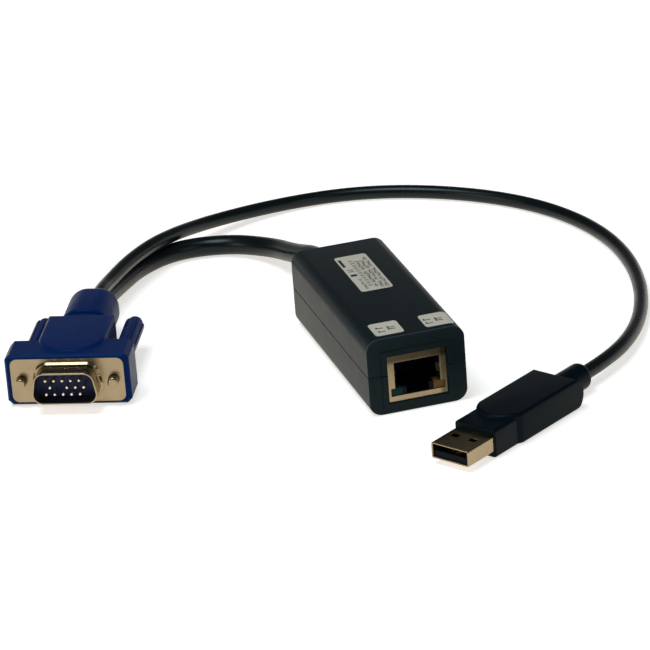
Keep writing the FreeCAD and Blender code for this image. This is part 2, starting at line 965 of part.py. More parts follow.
def side_profile():
    """The body seen from the side: flat above and below, with a bulging rear end."""
    half = mould_width / 2
    front = mould_front - overlap
    middle = (mould_rise - mould_drop) / 2
    top = Vector(-half, mould_rear, mould_rise)
    low = Vector(-half, mould_rear, -mould_drop)
    bulge = Part.Arc(top, Vector(-half, mould_rear + mould_rear_bulge, middle), low)
    straight = Part.makePolygon([low, Vector(-half, front, -mould_drop), Vector(-half, front, mould_rise), top])
    return Part.Face(Part.Wire([bulge.toShape()] + straight.Edges)).extrude(Vector(2 * half, 0, 0))


def make_usb_overmould():
    nose = block(nose_width, mould_shoulder + overlap - nose_front, nose_height, y=nose_front, z=-nose_height / 2)
    nose = nose.makeFillet(nose_edge, edges_along(nose, Vector(0, 1, 0)))
    nose = nose.makeFillet(nose_front_edge, plane_edges(nose, Vector(0, 1, 0), nose_front))
    half = mould_width / 2
    arc = Part.Arc(
        Vector(half, mould_shoulder, -mould_drop),
        Vector(0, mould_front, -mould_drop),
        Vector(-half, mould_shoulder, -mould_drop),
    )
    rear = mould_rear + mould_rear_bulge
    corners = [
        Vector(-half, mould_shoulder, -mould_drop),
        Vector(-half, rear, -mould_drop),
        Vector(half, rear, -mould_drop),
        Vector(half, mould_shoulder, -mould_drop),
    ]
    wire = Part.Wire([arc.toShape()] + Part.makePolygon(corners).Edges)
    body = Part.Face(wire).extrude(Vector(0, 0, mould_rise + mould_drop))
    body = body.common(side_profile())
    brims = plane_edges(body, Vector(0, 0, 1), -mould_drop) + plane_edges(body, Vector(0, 0, 1), mould_rise)
    body = body.makeFillet(mould_edge, brims)
    neck = rod(usb_neck_radius, usb_neck_rear - mould_rear + overlap, (0, mould_rear - overlap, 0), (0, 1, 0))
    neck = neck.makeFillet(usb_neck_round, plane_edges(neck, Vector(0, 1, 0), usb_neck_rear))
    mould = nose.fuse(body).fuse(neck)
    pocket = rounded_block(
        usb_shell_width,
        usb_shell_seat + overlap,
        usb_shell_height,
        usb_shell_corner,
        y=nose_front - overlap,
        z=-usb_shell_height / 2,
    )
    return mould.cut(pocket).removeSplitter()


# ---------------------------------------------------------------- cables
def tube(points, diameter, name=""):
    """A round tube along straight runs joined by tangent arcs."""
    points = [Vector(*p) for p in points]
    pieces = []
    radii = []
    here = points[0]
    for before, corner, after in zip(points, points[1:], points[2:]):
        back = before.sub(corner)
        ahead = after.sub(corner)
        shorter = min(back.Length, ahead.Length)
        cosine = back.normalize().dot(ahead.normalize())
        half_turn = (math.pi - math.acos(max(-1.0, min(1.0, cosine)))) / 2
        reach = arc_share * shorter
        radius = reach / math.tan(half_turn)
        radii.append(round(radius / diameter, 1))
        start = corner.add(Vector(back).multiply(reach))
        end = corner.add(Vector(ahead).multiply(reach))
        bisector = back.add(ahead).normalize()
        depth = radius / math.cos(half_turn) - radius
        middle = corner.add(bisector.multiply(depth))
        pieces.append(Part.LineSegment(here, start).toShape())
        pieces.append(Part.Arc(start, middle, end).toShape())
        here = end
    pieces.append(Part.LineSegment(here, points[-1]).toShape())
    path = Part.Wire(pieces)
    ring = Part.Wire([Part.makeCircle(diameter / 2, points[0], points[1].sub(points[0]))])
    solid = path.makePipeShell([ring], True, False)
    solid = Part.Solid(Part.Shell(solid.Faces)) if solid.ShapeType != "Solid" else solid
    if name:
        expected = math.pi * diameter**2 / 4 * path.Length
        print(f"{name}: length {path.Length:.1f} mm, radii in diameters {radii}, volume {solid.Volume / expected:.4f}")
    return solid


# ---------------------------------------------------------------- assembly
def build():
    parts = {}
    parts["lower_shell"], parts["upper_shell"] = make_shells()
    parts["case_screws"] = make_case_screws()
    parts["left_led"] = make_led(-1)
    parts["right_led"] = make_led(1)
    parts["jack_shield"] = make_shield()
    parts["jack_housing"] = make_housing([parts["left_led"], parts["right_led"]])
    parts["jack_contacts"] = group(contact_wires())
    parts["circuit_board"] = make_board()
    parts.update(make_chips())
    parts["cable_gland"] = make_gland()
    parts["cable_wires"] = make_cable_wires()
    parts["main_label"] = make_label(main_label_size, main_label_from_middle, rear_y - main_label_from_rear)
    left_x = left_label_from_side - box_width / 2
    right_x = box_width / 2 - right_label_from_side
    parts["left_label"] = make_label(small_label_size, left_x, front_y + left_label_from_front)
    parts["right_label"] = make_label(small_label_size, right_x, front_y + right_label_from_front)
    parts["vga_hood"] = make_hood()
    parts["vga_shell"] = vga_placed(make_vga_shell())
    parts["vga_insulator"] = vga_placed(make_vga_insulator())
    parts["vga_pins"] = vga_placed(make_vga_pins())
    for name, x in (("left", -thumb_spacing / 2), ("right", thumb_spacing / 2)):
        parts[name + "_screw"] = vga_placed(make_thumb_screw(x))
        parts[name + "_knob"] = vga_placed(make_knob(x))
    parts["usb_shell"] = usb_placed(make_usb_shell())
    parts["usb_tongue"] = usb_placed(make_usb_tongue())
    parts["usb_contacts"] = usb_placed(group(usb_contact_strips()))
    parts["usb_overmould"] = usb_placed(make_usb_overmould())
    parts["video_cable"] = tube(video_route, video_cable_diameter, "video_cable")
    parts["usb_cable"] = tube(usb_route, usb_cable_diameter, "usb_cable")
    return parts


for node, shape in build().items():
    if not shape.isValid():
        raise ValueError(node + " is not a valid solid")
    shape.exportStep("parts/" + node + ".step")
    box = shape.BoundBox
    print(
        f"{node}: {len(shape.Solids)} solid(s), {shape.Volume:.1f} mm3, "
        f"x {box.XMin:.1f}..{box.XMax:.1f} y {box.YMin:.1f}..{box.YMax:.1f} z {box.ZMin:.1f}..{box.ZMax:.1f}"
    )
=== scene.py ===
"""The looks of a small network and video adapter with two captive cables, built round its fixed frame.

Everything is in metres in the frame's own axes: the origin is under the middle of the box, +Y runs from the
network socket's end to the cable end and +Z is up. Shapes of the two plugs are worked out in millimetres in
the plug's own axes, where y = 0 is its front face and y runs towards its cable, and are then set in place.
"""

import json
import math

import bmesh
import bpy
import numpy as np
from bpy.props import FloatProperty, FloatVectorProperty, PointerProperty
from mathutils import Matrix, Vector


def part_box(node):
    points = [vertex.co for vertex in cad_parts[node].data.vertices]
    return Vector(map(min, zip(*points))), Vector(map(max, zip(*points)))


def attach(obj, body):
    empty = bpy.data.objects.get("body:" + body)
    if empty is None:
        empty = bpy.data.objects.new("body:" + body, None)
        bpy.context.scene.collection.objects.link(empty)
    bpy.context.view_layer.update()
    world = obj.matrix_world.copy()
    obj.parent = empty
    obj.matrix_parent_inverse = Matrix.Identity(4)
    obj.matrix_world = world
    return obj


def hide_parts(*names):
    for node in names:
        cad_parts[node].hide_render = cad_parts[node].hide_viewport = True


bl_info = {
    "name": "Adapter Looks",
    "version": (1, 0, 0),
    "blender": (4, 5, 0),
    "location": "View3D > Sidebar > Adapter",
    "description": "Builds the finishes, cords and fine pieces of a boxed adapter with two plugs",
    "category": "Object",
}

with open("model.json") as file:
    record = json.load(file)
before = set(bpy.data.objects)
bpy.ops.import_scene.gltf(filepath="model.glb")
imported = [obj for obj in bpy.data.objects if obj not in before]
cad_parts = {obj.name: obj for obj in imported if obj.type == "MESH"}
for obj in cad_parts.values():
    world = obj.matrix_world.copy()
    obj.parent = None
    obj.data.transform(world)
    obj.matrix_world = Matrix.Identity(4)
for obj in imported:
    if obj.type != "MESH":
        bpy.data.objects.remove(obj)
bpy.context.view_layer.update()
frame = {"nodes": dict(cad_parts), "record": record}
MOUNTS = {mount["name"]: mount for mount in frame["record"]["mounts"]}
MM = 0.001
LABEL_PRINT_RISE = 0.012
FLOOR_DROP = 0.03
# The least distance between points of a merged skin, in metres, and the angle under which its faces join.
MERGE_DISTANCE = 2e-6
FLAT_ANGLE = math.radians(0.4)

# ---------------------------------------------------------------- places taken from the frame


def plug_axes(mount_name):
    """The origin of a plug and its three axes, as rows, from its mount: y points back along its cable."""
    mount = MOUNTS[mount_name]
    back = -np.array(mount["axis"], float)
    up = np.array([0.0, 0.0, 1.0])
    return np.array(mount["pos_m"], float), np.array([np.cross(back, up), back, up])


def set_in_place(points_mm, mount_name):
    """Points in a plug's own millimetres, turned and moved to where the plug lies."""
    origin, axes = plug_axes(mount_name)
    return origin + np.asarray(points_mm, float) * MM @ axes


# ---------------------------------------------------------------- mesh helpers


def new_object(name, mesh, body, material, nodes=()):
    """Links a finished mesh, gives it its finish and ties it to its body and to the nodes it stands for."""
    piece = bpy.data.objects.new(name, mesh)
    bpy.context.scene.collection.objects.link(piece)
    mesh.materials.clear()
    mesh.materials.append(material)
    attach(piece, body)
    if nodes:
        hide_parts(*nodes)
    return piece


def shade(mesh, angle_deg):
    """Smooth shading that stays sharp where two faces meet at more than the angle."""
    mesh.shade_smooth()
    mesh.set_sharp_from_angle(angle=math.radians(angle_deg))


def rounded_outline(width, height, radius, corner_points):
    """A closed rectangle with round corners about its middle, and the outward direction at each point.

    At corner k the points are middle_k + radius * (cos t, sin t), with t running on a quarter turn from k
    quarter turns.
    """
    quarter = np.linspace(0.0, math.pi / 2, corner_points)
    turn = (quarter + np.arange(4)[:, None] * math.pi / 2).ravel()
    side = np.repeat([[1, 1], [-1, 1], [-1, -1], [1, -1]], corner_points, axis=0)
    outward = np.stack([np.cos(turn), np.sin(turn)], -1)
    return side * [width / 2 - radius, height / 2 - radius] + radius * outward, outward


def rolled_edge(name, outline, outward, front, reach, thickness, around, mount_name):
    """The lip of a drawn sheet, set in a plug's place: an ellipse carried round a closed outline.

    Point (i, j) lies at outline_i + thickness / 2 * (cos t_j - 1) * outward_i across the plug and at
    front + reach / 2 * (1 - sin t_j) along it, with t_j evenly spread round the ellipse.
    """
    turn = np.linspace(0.0, 2 * math.pi, around, endpoint=False)
    flat = outline[:, None] + thickness / 2 * (np.cos(turn)[:, None] - 1.0) * outward[:, None]
    along = np.broadcast_to(front + reach / 2 * (1.0 - np.sin(turn)), flat.shape[:2])
    points = np.stack([flat[..., 0], along, flat[..., 1]], -1).reshape(-1, 3)
    row, column = np.meshgrid(np.arange(len(outline)), np.arange(around), indexing="ij")
    next_row, next_column = (row + 1) % len(outline), (column + 1) % around
    corners = [(row, column), (row, next_column), (next_row, next_column), (next_row, column)]
    faces = np.stack([i * around + j for i, j in corners], -1).reshape(-1, 4)
    mesh = bpy.data.meshes.new(name)
    mesh.from_pydata(set_in_place(points, mount_name).tolist(), [], faces.tolist())
    work = bmesh.new()
    work.from_mesh(mesh)
    bmesh.ops.recalc_face_normals(work, faces=work.faces)
    work.to_mesh(mesh)
    work.free()
    shade(mesh, 60.0)
    return mesh


def dress(node, material, angle_deg=28.0, bevel_mm=0.0):
    """Stands a smooth-shaded copy of a node's own form in for it, with its loose triangles merged."""
    mesh = frame["nodes"][node].data.copy()
    mesh.name = node + "_skin"
    if "custom_normal" in mesh.attributes:
        mesh.attributes.remove(mesh.attributes["custom_normal"])
    work = bmesh.new()
    work.from_mesh(mesh)
    bmesh.ops.remove_doubles(work, verts=work.verts, dist=MERGE_DISTANCE)
    bmesh.ops.dissolve_limit(work, angle_limit=FLAT_ANGLE, verts=work.verts, edges=work.edges)
    work.to_mesh(mesh)
    work.free()
    shade(mesh, angle_deg)
    piece = new_object(node + "_looks", mesh, body_of(node), material, [node])
    if bevel_mm:
        bevel = piece.modifiers.new("Bevel", "BEVEL")
        bevel.width = bevel_mm * MM
        bevel.segments = 2
        bevel.limit_method = "ANGLE"
        bevel.angle_limit = math.radians(angle_deg + 12.0)
        bevel.harden_normals = True
    return piece


def body_of(node):
    """The body that a node rides on."""
    for body, members in frame["record"]["behaviour"]["bodies"].items():
        if node in members:
            return body
    raise KeyError(node)


# ---------------------------------------------------------------- finishes

# The span of a noise texture that a finish spreads over its colour and gloss, and the least roughness.
NOISE_SPAN = (0.3, 0.7)
LEAST_ROUGHNESS = 0.03
# The depth of the fine grain and the width of the change from gloss to satin, in millimetres.
GRAIN_DEPTH = 0.02
POLISH_RAMP = 0.1
# The colour's level behind the box's front edge, as (share of the depth, level): painted light, with the
# front a fifth lighter and a bright painted highlight line on the edge.
FRONT_PAINTED_HIGHLIGHT_DEPTH = 1.6
FRONT_PAINTED_HIGHLIGHT = ((0.0, 1.2), (0.28, 1.2), (0.42, 9.0), (0.56, 1.0), (1.0, 1.0))
# Where painted shade darkens the socket's shield, in millimetres up and to the right, and how far.
SHIELD_TOP = (13.5, 14.8)
SHIELD_TOP_PAINTED_SHADE = ((0.0, 1.0), (1.0, 0.3))
SHIELD_RIGHT = (5.9, 6.9)
SHIELD_RIGHT_PAINTED_SHADE = ((0.0, 1.0), (1.0, 0.4))
COOL_GLINT = (0.7, 0.92, 1.0)
HOOD_GLINT = (0.2, 0.5, 1.0)
CABLE_GLINT = (0.8, 0.95, 1.0)


def linear(red, green, blue):
    """A colour written in 0 to 255 display values, as linear light."""
    value = np.array([red, green, blue], float) / 255.0
    return tuple(np.where(value <= 0.04045, value / 12.92, ((value + 0.055) / 1.055) ** 2.4))


def map_range(material, source, start, end, low, high):
    """A node that turns start to end of a value into low to high."""
    node = material.node_tree.nodes.new("ShaderNodeMapRange")
    node.inputs["From Min"].default_value = start
    node.inputs["From Max"].default_value = end
    node.inputs["To Min"].default_value = low
    node.inputs["To Max"].default_value = high
    material.node_tree.links.new(source, node.inputs["Value"])
    return node.outputs["Result"]


def vector_math(material, operation, source):
    """A node that works on the vector of a source."""
    node = material.node_tree.nodes.new("ShaderNodeVectorMath")
    node.operation = operation
    material.node_tree.links.new(source, node.inputs[0])
    return node


def finish(
    name, colour, roughness, metallic=0.0, specular=0.5, grain_mm=0.25, grain=0.1, mottle=0.06, wear_mm=6.0,
    rough_spread=0.06, glint=(1.0, 1.0, 1.0),
):
    """A finish with a fine grain in its bump, a broad mottle in its colour and an uneven gloss.

    grain_mm and wear_mm are the sizes of the fine and the broad pattern, both read in Object coordinates, and
    glint is the colour of what the surface mirrors when it is met head on.
    """
    material = bpy.data.materials.new(name)
    material.use_nodes = True
    nodes, links = material.node_tree.nodes, material.node_tree.links
    shader = nodes["Principled BSDF"]
    shader.inputs["Metallic"].default_value = metallic
    shader.inputs["Specular IOR Level"].default_value = specular
    shader.inputs["Specular Tint"].default_value = (*glint, 1.0)
    place = nodes.new("ShaderNodeTexCoord")
    broad = nodes.new("ShaderNodeTexNoise")
    broad.inputs["Scale"].default_value = 1.0 / (wear_mm * MM)
    broad.inputs["Detail"].default_value = 4.0
    links.new(place.outputs["Object"], broad.inputs["Vector"])
    tint = nodes.new("ShaderNodeVectorMath")
    tint.operation = "SCALE"
    tint.inputs[0].default_value = colour
    shift = map_range(material, broad.outputs["Fac"], *NOISE_SPAN, 1.0 - mottle, 1.0 + mottle)
    links.new(shift, tint.inputs["Scale"])
    links.new(tint.outputs["Vector"], shader.inputs["Base Color"])
    smooth, rough = max(LEAST_ROUGHNESS, roughness - rough_spread), min(1.0, roughness + rough_spread)
    gloss = map_range(material, broad.outputs["Fac"], *NOISE_SPAN, smooth, rough)
    links.new(gloss, shader.inputs["Roughness"])
    fine = nodes.new("ShaderNodeTexNoise")
    fine.inputs["Scale"].default_value = 1.0 / (grain_mm * MM)
    fine.inputs["Detail"].default_value = 3.0
    links.new(place.outputs["Object"], fine.inputs["Vector"])
    bump = nodes.new("ShaderNodeBump")
    bump.inputs["Strength"].default_value = grain
    bump.inputs["Distance"].default_value = GRAIN_DEPTH * MM
    links.new(fine.outputs["Fac"], bump.inputs["Height"])
    links.new(bump.outputs["Normal"], shader.inputs["Normal"])
    return material


def polish_front(material, mount_name, gloss, satin, edge_mm):
    """Makes a finish glossy in front of a plug's face and satin behind it.

    The change is a ramp of a tenth of a millimetre about edge_mm, measured along the plug's own axis.
    """
    origin, axes = plug_axes(mount_name)
    nodes, links = material.node_tree.nodes, material.node_tree.links
    along = vector_math(material, "DOT_PRODUCT", nodes["Texture Coordinate"].outputs["Object"])
    along.inputs[1].default_value = axes[1]
    edge = float(origin @ axes[1]) + edge_mm * MM
    start, end = edge - POLISH_RAMP / 2 * MM, edge + POLISH_RAMP / 2 * MM
    ramp = map_range(material, along.outputs["Value"], start, end, gloss, satin)
    links.new(ramp, nodes["Principled BSDF"].inputs["Roughness"])
    return material


def paint_light_along(material, axis, low_mm, high_mm, stops):
    """Paints light and shade into a finish's colour: scales it along an axis, by each stop's level at its
    share of the way to high.
    """
    nodes, links = material.node_tree.nodes, material.node_tree.links
    split = nodes.new("ShaderNodeSeparateXYZ")
    links.new(nodes["Texture Coordinate"].outputs["Object"], split.inputs["Vector"])
    ramp = nodes.new("ShaderNodeValToRGB")
    way = map_range(material, split.outputs[axis], low_mm * MM, high_mm * MM, 0.0, 1.0)
    links.new(way, ramp.inputs["Fac"])
    peak = max(level for share, level in stops)
    elements = ramp.color_ramp.elements
    for k, (share, level) in enumerate(stops):
        element = elements[0] if k == 0 else elements[-1] if k == len(stops) - 1 else elements.new(share)
        element.position = share
        element.color = (level / peak, level / peak, level / peak, 1.0)
    lift = vector_math(material, "SCALE", ramp.outputs["Color"])
    lift.inputs["Scale"].default_value = peak
    colour = nodes["Principled BSDF"].inputs["Base Color"]
    both = vector_math(material, "MULTIPLY", colour.links[0].from_socket)
    links.new(lift.outputs["Vector"], both.inputs[1])
    links.new(both.outputs["Vector"], colour)
    return material


FINISHES = {}


def build_finishes(values):
    """Every finish of the adapter, by the name of its slot."""
    metal = dict(metallic=1.0, grain_mm=0.5, grain=0.05, mottle=0.06, wear_mm=3.0)
    contact = dict(metallic=1.0, grain_mm=0.3, grain=0.02, mottle=0.03)
    shell = finish("Video Plug Plate", values.metal_colour, 0.3, **metal)
    box = finish(
        "Box Plastic", values.box_colour, 0.42, specular=0.14, grain_mm=0.35, grain=0.2, mottle=0.05,
        rough_spread=0.015, glint=COOL_GLINT,
    )
    # Painted highlight: the box's front is made a little lighter and a bright line is put on its front edge,
    # both in its colour.
    front_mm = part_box("upper_shell")[0][1] / MM
    paint_light_along(box, "Y", front_mm, front_mm + FRONT_PAINTED_HIGHLIGHT_DEPTH, FRONT_PAINTED_HIGHLIGHT)
    frame_metal = finish("Tinned Sheet", values.metal_colour, 0.36, **metal)
    # Painted shade: the shield's colour is darkened towards its top and its right side.
    paint_light_along(frame_metal, "Z", *SHIELD_TOP, SHIELD_TOP_PAINTED_SHADE)
    paint_light_along(frame_metal, "X", *SHIELD_RIGHT, SHIELD_RIGHT_PAINTED_SHADE)
    FINISHES.update(
        box_plastic=box,
        hood_blue=finish(
            "Hood Blue", values.hood_colour, 0.4, specular=0.1, grain_mm=0.3, grain=0.25, mottle=0.05,
            glint=HOOD_GLINT,
        ),
        cable_rubber=finish(
            "Cable Sheath", values.cable_colour, 0.3, specular=0.3, grain_mm=0.6, grain=0.2, mottle=0.08,
            wear_mm=12.0, glint=CABLE_GLINT,
        ),
        mould_rubber=finish(
            "Plug Moulding", values.mould_colour, 0.38, specular=0.08, grain_mm=0.3, grain=0.2, mottle=0.05,
            glint=COOL_GLINT,
        ),
        plug_metal=finish("Nickel Plate", values.metal_colour, 0.24, **metal),
        shell_metal=polish_front(shell, "video_plug", 0.15, 0.4, 0.0),
        jack_metal=frame_metal,
        pin_metal=finish("Pin Plate", linear(236, 226, 200), 0.2, **contact),
        contact_metal=finish("Gold Contact", linear(212, 168, 90), 0.25, **contact),
        jack_plastic=finish("Socket Plastic", linear(10, 10, 24), 0.4, specular=0.1, grain_mm=0.3, grain=0.2),
        insulator_blue=finish("Insulator", linear(22, 36, 84), 0.4, specular=0.25, grain_mm=0.3, grain=0.15),
        usb_plastic=finish("Tongue Plastic", linear(8, 20, 30), 0.4, specular=0.06, grain_mm=0.3, grain=0.15),
        label_film=finish(
            "Label Film", values.label_colour, 0.5, specular=0.3, grain_mm=0.4, grain=0.1, mottle=0.03
        ),
        label_print=finish("Label Print", linear(48, 48, 46), 0.6, specular=0.2, grain_mm=0.4, grain=0.05),
        green_lens=finish("Green Window", linear(8, 50, 46), 0.3, specular=0.1, grain_mm=0.5, grain=0.03),
        amber_lens=finish("Amber Window", linear(118, 92, 46), 0.3, specular=0.1, grain_mm=0.5, grain=0.03),
        screw_steel=finish(
            "Screw Steel", linear(150, 150, 150), 0.35, metallic=1.0, grain_mm=0.4, grain=0.05
        ),
        board_green=finish("Board", linear(18, 84, 44), 0.35, grain_mm=0.5, grain=0.1),
        chip_black=finish("Chip", linear(24, 24, 26), 0.5, grain_mm=0.2, grain=0.2),
        crystal_metal=finish(
            "Drawn Can", linear(196, 198, 200), 0.28, metallic=1.0, grain_mm=0.4, grain=0.03
        ),
        header_plastic=finish("Header", linear(222, 216, 198), 0.45, grain_mm=0.3, grain=0.1),
        wire_plastic=finish("Core Sheath", linear(150, 36, 30), 0.4, grain_mm=0.5, grain=0.05),
    )


# ---------------------------------------------------------------- sizes and colours a user would change


class AdapterStage(bpy.types.PropertyGroup):
    """The studio round the adapter."""

    floor_size: FloatProperty(name="Floor Size", description="Side of the floor", default=12.0, unit="LENGTH")
    key_power: FloatProperty(
        name="Key Power", description="Power of the large lamp overhead", default=4.2, unit="POWER"
    )
    fill_power: FloatProperty(
        name="Fill Power", description="Power of the lamp in front", default=0.7, unit="POWER"
    )
    side_power: FloatProperty(
        name="Side Power", description="Power of the lamp on the left", default=1.4, unit="POWER"
    )
    sky: FloatProperty(
        name="Sky", description="Brightness of the room above the horizon", default=0.08, min=0.0
    )
    camera_place: FloatVectorProperty(
        name="Camera Place", description="Where the camera stands", default=(-0.28224, -0.97911, 0.4482),
        subtype="TRANSLATION", unit="LENGTH",
    )
    camera_pitch: FloatProperty(
        name="Camera Pitch", description="How far the camera looks down",
        default=math.radians(23.19), unit="ROTATION",
    )
    camera_turn: FloatProperty(
        name="Camera Turn", description="How far the camera is turned from +Y towards +X",
        default=math.radians(15.283), unit="ROTATION",
    )
    camera_roll: FloatProperty(
        name="Camera Roll", description="How far the camera leans",
        default=math.radians(-4.45), unit="ROTATION",
    )
    lens: FloatProperty(name="Lens", description="Focal length on a 36 mm sensor", default=227.14, min=1.0)


class AdapterSizes(bpy.types.PropertyGroup):
    """Sizes of the cables and of the USB plug's mouth, in metres, and the main colours."""

    video_cable_diameter: FloatProperty(
        name="Video Cable", description="Diameter of the thick cable", default=0.0057, unit="LENGTH"
    )
    usb_cable_diameter: FloatProperty(
        name="USB Cable", description="Diameter of the thin cable", default=0.004, unit="LENGTH"
    )
    usb_width: FloatProperty(
        name="USB Width", description="Width of the USB shell", default=0.012, unit="LENGTH"
    )
    usb_height: FloatProperty(
        name="USB Height", description="Height of the USB shell", default=0.0045, unit="LENGTH"
    )
    usb_corner: FloatProperty(
        name="USB Corner", description="Corner radius of the USB shell", default=0.0006, unit="LENGTH"
    )
    usb_lip: FloatProperty(
        name="USB Lip", description="Thickness of the rolled edge of its mouth", default=0.0005, unit="LENGTH"
    )
    box_colour: FloatVectorProperty(
        name="Box", description="Colour of the box", subtype="COLOR", default=linear(16, 27, 31)
    )
    hood_colour: FloatVectorProperty(
        name="Hood", description="Colour of the video plug's hood", subtype="COLOR", default=linear(8, 38, 94)
    )
    cable_colour: FloatVectorProperty(
        name="Cables", description="Colour of both cables", subtype="COLOR", default=linear(7, 15, 18)
    )
    mould_colour: FloatVectorProperty(
        name="Moulding", description="Colour of the USB plug's moulding", subtype="COLOR",
        default=linear(5, 16, 24),
    )
    metal_colour: FloatVectorProperty(
        name="Metal", description="Colour of the plated parts", subtype="COLOR", default=linear(160, 145, 118)
    )
    label_colour: FloatVectorProperty(
        name="Label", description="Colour of the labels", subtype="COLOR", default=linear(218, 212, 198)
    )


def stage_settings():
    """The studio's values, as the user has set them."""
    return bpy.context.scene.adapter_stage


def sizes():
    """The adapter's sizes and colours, as the user has set them."""
    return bpy.context.scene.adapter_sizes


# ---------------------------------------------------------------- stage

# What the lamps point at. A lamp is its name, place, diameter, the property with its power, and colour.
AIM = (0.0, 0.03, 0.0)
LAMPS = [
    ("Overhead", (-0.25, -0.1, 0.9), 0.5, "key_power", (0.86, 0.96, 1.0)),
    ("Front", (0.35, -0.9, 0.5), 0.5, "fill_power", (0.95, 0.98, 1.0)),
    ("Left", (-0.9, -0.2, 0.35), 0.4, "side_power", (1.0, 0.8, 0.58)),
]
# The floor's own colour, its glow, and the glow's colour as seen and as mirrored.
FLOOR_COLOUR = (0.86, 0.86, 0.86, 1.0)
FLOOR_GLOW = 0.66
FLOOR_SEEN = (1.0, 0.98, 0.95, 1.0)
FLOOR_MIRRORED = (1.0, 0.86, 0.7, 1.0)
# The heights of a direction between which the room fades from white to its ceiling.
HORIZON_FADE = (0.06, 0.26)
CLIP_START = 0.01
CLIP_END = 50.0


def aim(place, target):
    """A turn that points an object's -Z axis from a place at a target."""
    return (Vector(target) - Vector(place)).to_track_quat("-Z", "Y")


def add_lamp(name, place, target, size, power, colour):
    """A round lamp at a place, pointed at a target."""
    lamp = bpy.data.lights.new(name, "AREA")
    lamp.shape = "DISK"
    lamp.size = size
    lamp.energy = power
    lamp.color = colour
    holder = bpy.data.objects.new(name, lamp)
    holder.location = place
    holder.rotation_euler = aim(place, target).to_euler()
    bpy.context.scene.collection.objects.link(holder)


class ADAPTER_OT_stage(bpy.types.Operator):
    """Sets the camera, the lamps, the pale floor and the room"""

    bl_idname = "adapter.stage"
    bl_label = "Stage"

    def execute(self, context):
        settings = stage_settings()
        self.add_camera(context, settings)
        for name, place, size, power, colour in LAMPS:
            add_lamp(name, place, AIM, size, getattr(settings, power), colour)
        self.add_floor(context, settings)
        self.add_room(context, settings)
        context.scene.view_settings.view_transform = "Standard"
        return {"FINISHED"}

    def add_camera(self, context, settings):
        """The camera, turned from level by its pitch, turn and roll."""
        camera = bpy.data.cameras.new("Camera")
        camera.sensor_width = 36.0
        camera.lens = settings.lens
        camera.clip_start = CLIP_START
        camera.clip_end = CLIP_END
        holder = bpy.data.objects.new("Camera", camera)
        upright = Matrix.Rotation(math.pi / 2 - settings.camera_pitch, 4, "X")
        turn = Matrix.Rotation(-settings.camera_turn, 4, "Z")
        lean = Matrix.Rotation(settings.camera_roll, 4, "Z")
        holder.matrix_world = Matrix.Translation(settings.camera_place) @ turn @ upright @ lean
        context.scene.collection.objects.link(holder)
        context.scene.camera = holder

    def add_floor(self, context, settings):
        """A level sheet a hair under z = 0 whose points are the corners of a square."""
        half = settings.floor_size / 2
        corners = np.array([[-1, -1, 0], [1, -1, 0], [1, 1, 0], [-1, 1, 0]], float) * half
        corners[:, 2] = -FLOOR_DROP * MM
        mesh = bpy.data.meshes.new("Floor")
        mesh.from_pydata(corners.tolist(), [], [(0, 1, 2, 3)])
        material = bpy.data.materials.new("Floor White")
        material.use_nodes = True
        nodes, links = material.node_tree.nodes, material.node_tree.links
        shader = nodes["Principled BSDF"]
        shader.inputs["Base Color"].default_value = FLOOR_COLOUR
        shader.inputs["Roughness"].default_value = 0.9
        shader.inputs["Specular IOR Level"].default_value = 0.0
        glow = nodes.new("ShaderNodeEmission")
        seen = nodes.new("ShaderNodeLightPath")
        either = nodes.new("ShaderNodeMath")
        either.operation = "MAXIMUM"
        links.new(seen.outputs["Is Camera Ray"], either.inputs[0])
        links.new(seen.outputs["Is Glossy Ray"], either.inputs[1])
        any_of = nodes.new("ShaderNodeMath")
        any_of.operation = "MAXIMUM"
        links.new(either.outputs[0], any_of.inputs[0])
        links.new(seen.outputs["Is Transmission Ray"], any_of.inputs[1])
        level = nodes.new("ShaderNodeMath")
        level.operation = "MULTIPLY"
        level.inputs[1].default_value = FLOOR_GLOW
        links.new(any_of.outputs[0], level.inputs[0])
        links.new(level.outputs[0], glow.inputs["Strength"])
        warm = nodes.new("ShaderNodeMix")
        warm.data_type = "RGBA"
        warm.inputs["A"].default_value = FLOOR_SEEN
        warm.inputs["B"].default_value = FLOOR_MIRRORED
        links.new(seen.outputs["Is Glossy Ray"], warm.inputs["Factor"])
        links.new(warm.outputs["Result"], glow.inputs["Color"])
        both = nodes.new("ShaderNodeAddShader")
        links.new(shader.outputs[0], both.inputs[0])
        links.new(glow.outputs[0], both.inputs[1])
        links.new(both.outputs[0], nodes["Material Output"].inputs["Surface"])
        mesh.materials.append(material)
        floor = bpy.data.objects.new("Floor", mesh)
        context.scene.collection.objects.link(floor)

    def add_room(self, context, settings):
        """White round the horizon, fading to a dim ceiling by the height of the direction looked in."""
        world = bpy.data.worlds.new("Room")
        world.use_nodes = True
        nodes, links = world.node_tree.nodes, world.node_tree.links
        background = nodes["Background"]
        place = nodes.new("ShaderNodeTexCoord")
        split = nodes.new("ShaderNodeSeparateXYZ")
        links.new(place.outputs["Generated"], split.inputs["Vector"])
        fade = nodes.new("ShaderNodeMapRange")
        fade.interpolation_type = "SMOOTHSTEP"
        fade.inputs["From Min"].default_value = HORIZON_FADE[0]
        fade.inputs["From Max"].default_value = HORIZON_FADE[1]
        fade.inputs["To Min"].default_value = 1.0
        fade.inputs["To Max"].default_value = settings.sky
        links.new(split.outputs["Z"], fade.inputs["Value"])
        links.new(fade.outputs["Result"], background.inputs["Strength"])
        background.inputs["Color"].default_value = (1.0, 1.0, 1.0, 1.0)
        context.scene.world = world


# ---------------------------------------------------------------- cords

